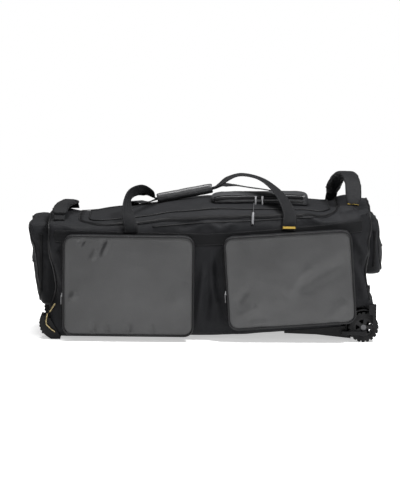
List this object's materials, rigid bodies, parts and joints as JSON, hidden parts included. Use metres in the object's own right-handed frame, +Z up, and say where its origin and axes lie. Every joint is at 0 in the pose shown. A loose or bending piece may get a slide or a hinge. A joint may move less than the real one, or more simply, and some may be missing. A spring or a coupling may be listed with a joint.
{
  "type": "wheeled sports kit bag",
  "caption": "Long wheeled duffel with a domed zip lid, padded front pockets, end pockets, webbing carry handles and arched shoulder straps",
  "frame": {"origin": "on the floor under the middle of the bag's box", "axes": "+X along the bag towards its wheels, +Y from its front face to its back, +Z up"},
  "size_m": [0.9952, 0.4118, 0.469],
  "materials": {
    "body_nylon": "plain-weave coated nylon",
    "coated_panel": "polyurethane-coated cloth, fine grain",
    "gusset_nylon": "heavy nylon",
    "webbing": "woven twill webbing",
    "padding": "padded coated cloth",
    "piping": "corded piping",
    "zip_tape": "coil zip tape",
    "moulding": "moulded polypropylene, light grain",
    "wheel_rim": "moulded nylon",
    "tyre": "moulded rubber",
    "steel": "satin plated",
    "yellow_thread": "woven",
    "pull_tube": "clear-grey tube"
  },
  "bodies": {
    "bag": {"bag_body": "body_nylon", "lid_panel": "body_nylon", "lid_zip": "zip_tape", "lid_piping": "piping", "band_front": "webbing", "band_rear": "webbing", "end_piping_left": "piping", "end_piping_right": "piping", "pocket_left_gusset": "gusset_nylon", "pocket_left_piping": "piping", "pocket_left_panel": "coated_panel", "pocket_left_zip": "zip_tape", "pocket_left_slider": "steel", "pocket_right_gusset": "gusset_nylon", "pocket_right_piping": "piping", "pocket_right_panel": "coated_panel", "pocket_right_zip": "zip_tape", "pocket_right_slider": "steel", "end_pocket_left": "body_nylon", "end_pocket_right": "body_nylon", "top_pocket": "coated_panel", "top_slider_1": "steel", "top_slider_2": "steel", "handle_front": "webbing", "handle_rear": "webbing", "grip_wrap": "coated_panel", "handle_tab": "yellow_thread", "shoulder_strap_left": "padding", "strap_tail_left_front": "webbing", "strap_tail_left_rear": "webbing", "shoulder_strap_right": "padding", "strap_tail_right_front": "webbing", "strap_tail_right_rear": "webbing", "lid_pull_loop": "webbing", "lid_pull_tube": "pull_tube", "wheel_axle_front": "steel", "wheel_axle_rear": "steel", "chassis": "moulding", "wheel_housing_front": "moulding", "wheel_housing_rear": "moulding", "corner_skid_front": "moulding", "corner_skid_rear": "moulding"},
    "wheel_front": {"wheel_tyre_front": "tyre", "wheel_rim_front": "wheel_rim"},
    "wheel_rear": {"wheel_tyre_rear": "tyre", "wheel_rim_rear": "wheel_rim"}
  },
  "joints": [
    {"name": "wheel_front_spin", "type": "hinge", "parent": "bag", "child": "wheel_front", "pos_m": [0.44677, -0.14408, 0.043], "axis": [0, 1, 0], "continuous": true},
    {"name": "wheel_rear_spin", "type": "hinge", "parent": "bag", "child": "wheel_rear", "pos_m": [0.44677, 0.18193, 0.043], "axis": [0, 1, 0], "continuous": true}
  ]
}
